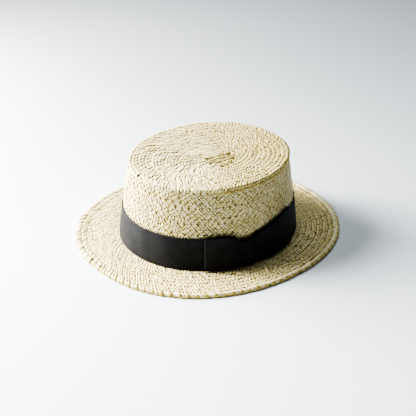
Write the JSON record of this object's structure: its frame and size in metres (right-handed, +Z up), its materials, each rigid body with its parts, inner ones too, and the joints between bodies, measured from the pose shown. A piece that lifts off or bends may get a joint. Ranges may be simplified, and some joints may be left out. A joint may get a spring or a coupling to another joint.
{
  "type": "straw boater hat",
  "caption": "Straw boater hat: flat oval crown, stiff flat brim, grosgrain ribbon band and a flat side bow. Worn on the head or rested on its brim.",
  "frame": {"origin": "middle of the brim's flat underside, on the surface that the hat rests on", "axes": "+Z up towards the tip of the crown, -Y towards the wearer's front, +X towards the wearer's left, where the bow is"},
  "size_m": [0.2748, 0.3032, 0.0945],
  "materials": {
    "straw": "plaited natural straw, pale cream with ochre gaps, slight satin sheen",
    "ribbon": "black ribbed grosgrain, soft matt sheen"
  },
  "bodies": {
    "root": {"crown": "straw", "brim": "straw", "hat_band": "ribbon", "bow_front_loop": "ribbon", "bow_rear_loop": "ribbon", "bow_knot": "ribbon"}
  },
  "joints": []
}
